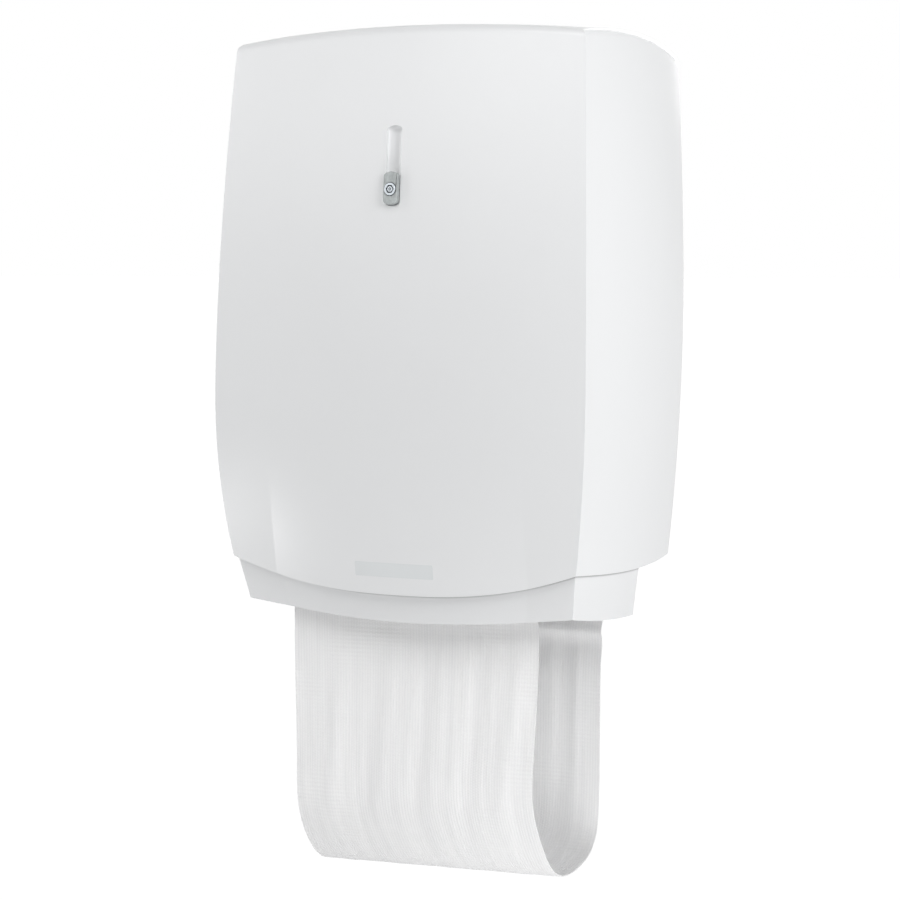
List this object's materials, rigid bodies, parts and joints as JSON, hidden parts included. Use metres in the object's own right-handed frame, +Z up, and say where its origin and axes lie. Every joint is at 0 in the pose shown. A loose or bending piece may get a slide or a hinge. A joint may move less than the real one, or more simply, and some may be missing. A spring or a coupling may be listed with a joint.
{
  "type": "continuous cloth roll towel cabinet",
  "caption": "Wall cabinet with a barrel shaped white cover over a cloth roll towel, whose loop hangs out below between a clean run and a used run.",
  "frame": {"origin": "middle of the back plate's wall face", "axes": "+Z up, +X to the right seen from the front, -Y to the front, the wall is the plane Y = 0"},
  "size_m": [0.3874, 0.2243, 0.7705],
  "materials": {
    "cover_white": "satin white moulded plastic",
    "frame_grey": "light grey moulded plastic",
    "steel": "bright steel",
    "slider_silver": "silver grey painted metal",
    "lock_metal": "dark nickel",
    "roller_rubber": "black rubber",
    "acetal_white": "white acetal",
    "cloth": "white ribbed cotton",
    "used_cloth": "white ribbed cotton, used",
    "core_board": "brown board tube"
  },
  "bodies": {
    "frame": {"back_plate": "frame_grey", "side_frame_left": "frame_grey", "side_frame_right": "frame_grey", "tie_bar": "steel", "hinge_pin_left": "steel", "hinge_pin_right": "steel", "skirt": "cover_white", "roll_hub_fixed": "acetal_white", "hub_housing": "frame_grey", "idler_pin": "steel", "pawl_pin": "steel", "guide_rod": "steel", "towel": "cloth", "frame_screw_low_left": "steel", "frame_screw_high_left": "steel", "tie_screw_left": "steel", "skirt_screw_front_left": "steel", "skirt_screw_rear_left": "steel", "feed_bush_left": "acetal_white", "takeup_bush_left": "acetal_white", "bracket_pin_left": "steel", "frame_screw_low_right": "steel", "frame_screw_high_right": "steel", "tie_screw_right": "steel", "skirt_screw_front_right": "steel", "skirt_screw_rear_right": "steel", "feed_bush_right": "acetal_white", "takeup_bush_right": "acetal_white", "bracket_pin_right": "steel", "hub_spring": "steel", "pressure_spring_left": "steel", "pressure_spring_right": "steel"},
    "cover": {"front_cover": "cover_white", "hinge_arm_left": "frame_grey", "hinge_arm_right": "frame_grey"},
    "slider": {"lock_slider": "slider_silver"},
    "key_plug": {"lock_cylinder": "lock_metal"},
    "clean_roll_body": {"clean_roll": "cloth", "clean_core": "core_board"},
    "sprung_hub": {"roll_hub_sprung": "acetal_white"},
    "feed": {"feed_roller": "roller_rubber", "feed_shaft": "steel", "feed_gear": "acetal_white", "ratchet_wheel": "acetal_white"},
    "idler": {"idler_gear": "acetal_white"},
    "takeup": {"takeup_spindle": "steel", "takeup_gear": "acetal_white", "used_roll": "used_cloth"},
    "pawl_body": {"pawl": "steel"},
    "bracket": {"pressure_bracket": "steel"},
    "press_roller": {"pressure_roller": "roller_rubber", "pressure_shaft": "steel"}
  },
  "joints": [
    {"name": "cover_hinge", "type": "hinge", "parent": "frame", "child": "cover", "pos_m": [0, -0.168, -0.245], "axis": [1, 0, 0], "range_deg": [0, 70]},
    {"name": "lock_slide", "type": "slide", "parent": "cover", "child": "slider", "axis": [0, 0.0941, 0.9956], "range_m": [0, 0.01]},
    {"name": "lock_turn", "type": "hinge", "parent": "slider", "child": "key_plug", "pos_m": [0, -0.21418, 0.11509], "axis": [0, -0.9956, 0.0941], "range_deg": [0, 90]},
    {"name": "clean_roll_turn", "type": "hinge", "parent": "frame", "child": "clean_roll_body", "pos_m": [0, -0.1, 0.108], "axis": [1, 0, 0], "continuous": true},
    {"name": "feed_turn", "type": "hinge", "parent": "frame", "child": "feed", "pos_m": [0, -0.1545, -0.205], "axis": [1, 0, 0], "continuous": true},
    {"name": "idler_turn", "type": "hinge", "parent": "frame", "child": "idler", "pos_m": [0, -0.11091, -0.16599], "axis": [1, 0, 0], "continuous": true},
    {"name": "takeup_turn", "type": "hinge", "parent": "frame", "child": "takeup", "pos_m": [0, -0.084, -0.088], "axis": [1, 0, 0], "continuous": true},
    {"name": "pressure_bracket_swing", "type": "hinge", "parent": "frame", "child": "bracket", "pos_m": [0, -0.1845, -0.16], "axis": [-1, 0, 0], "range_deg": [0, 4], "stiffness_Nm_per_rad": 4, "springref_deg": -8.59, "deforming": ["pressure_spring_left", "pressure_spring_right"]},
    {"name": "pressure_roller_turn", "type": "hinge", "parent": "bracket", "child": "press_roller", "pos_m": [0, -0.1903, -0.205], "axis": [1, 0, 0], "continuous": true},
    {"name": "pawl_lift", "type": "hinge", "parent": "frame", "child": "pawl_body", "pos_m": [0, -0.126, -0.17], "axis": [-1, 0, 0], "range_deg": [-5.5, 20]},
    {"name": "hub_release", "type": "slide", "parent": "frame", "child": "sprung_hub", "axis": [-1, 0, 0], "range_m": [0, 0.012], "stiffness_N_per_m": 600, "springref_m": -0.006, "deforming": ["hub_spring"]}
  ],
  "couplings": [
    {"joint": "feed_turn", "follows": "clean_roll_turn", "ratio": 3},
    {"joint": "idler_turn", "follows": "clean_roll_turn", "ratio": -2.087},
    {"joint": "takeup_turn", "follows": "clean_roll_turn", "ratio": 1.5},
    {"joint": "pressure_roller_turn", "follows": "clean_roll_turn", "ratio": -5.3256}
  ]
}
